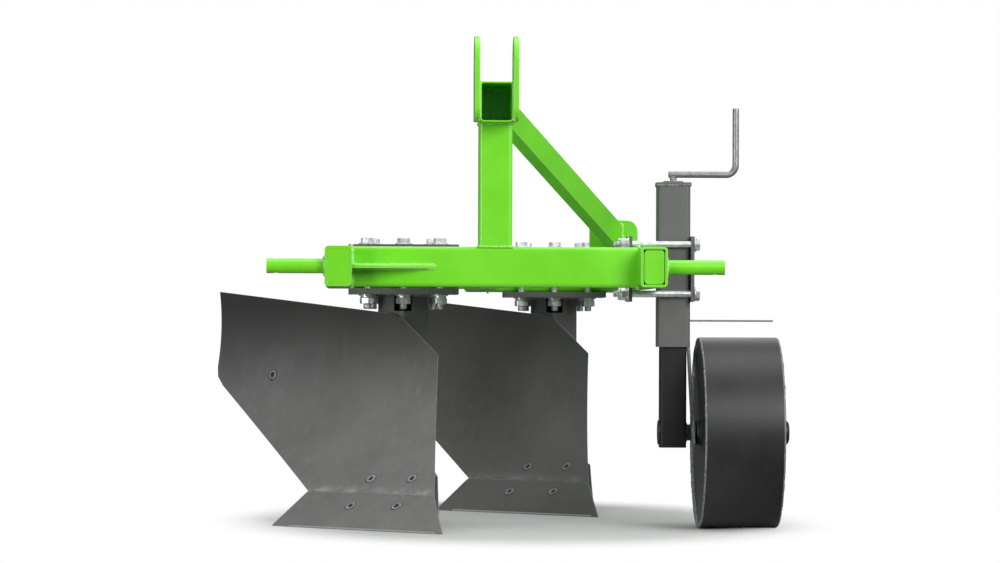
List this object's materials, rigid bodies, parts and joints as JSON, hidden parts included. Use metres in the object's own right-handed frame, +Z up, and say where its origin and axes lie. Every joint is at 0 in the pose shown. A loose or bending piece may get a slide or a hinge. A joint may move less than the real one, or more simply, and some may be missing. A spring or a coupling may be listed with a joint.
{
  "type": "two-furrow mounted plough",
  "caption": "Small tractor-mounted mouldboard plough: welded tube frame with hitch pins and mast, staggered plough bodies, and a screw-adjusted depth wheel that turns and slides.",
  "frame": {"origin": "on the floor, under the middle of the whole plough's box", "axes": "+Z up, -Y the way the plough travels, +X the land side that carries the depth wheel; the boards throw to -X"},
  "size_m": [0.8802, 1.214, 0.739],
  "materials": {
    "green_paint": "glossy grass green enamel over welded steel tube",
    "grey_paint": "satin dark grey primer on plough bodies, jack and wheel",
    "bare_steel": "plain rolled steel rod of the crank"
  },
  "bodies": {
    "frame": {"front_beam": "green_paint", "furrow_rail": "green_paint", "center_rail": "green_paint", "land_rail": "green_paint", "front_cross": "green_paint", "rear_cross": "green_paint", "corner_gusset": "green_paint", "furrow_plug": "green_paint", "land_plug": "green_paint", "furrow_link_pin": "green_paint", "land_link_pin": "green_paint", "mast": "green_paint", "mast_head": "green_paint", "furrow_clevis": "green_paint", "land_clevis": "green_paint", "brace": "green_paint", "brace_lug": "green_paint", "front_top_plate": "grey_paint", "front_leg": "grey_paint", "front_frog": "grey_paint", "front_stay": "grey_paint", "front_landside": "grey_paint", "front_mouldboard": "grey_paint", "front_share": "grey_paint", "rear_top_plate": "grey_paint", "rear_leg": "grey_paint", "rear_frog": "grey_paint", "rear_stay": "grey_paint", "rear_landside": "grey_paint", "rear_mouldboard": "grey_paint", "rear_share": "grey_paint", "jack_tube": "grey_paint", "jack_inner_jaw": "grey_paint", "jack_outer_jaw": "grey_paint", "crank": "bare_steel"},
    "wheel_leg_body": {"wheel_leg": "grey_paint", "wheel_axle": "grey_paint", "wheel_guard": "grey_paint"},
    "wheel_body": {"wheel": "grey_paint"}
  },
  "joints": [
    {"name": "wheel_height", "type": "slide", "parent": "frame", "child": "wheel_leg_body", "axis": [0, 0, 1], "range_m": [0, 0.09]},
    {"name": "wheel_spin", "type": "hinge", "parent": "wheel_leg_body", "child": "wheel_body", "pos_m": [0.36757, -0.37197, 0.146], "axis": [1, 0, 0], "continuous": true}
  ]
}
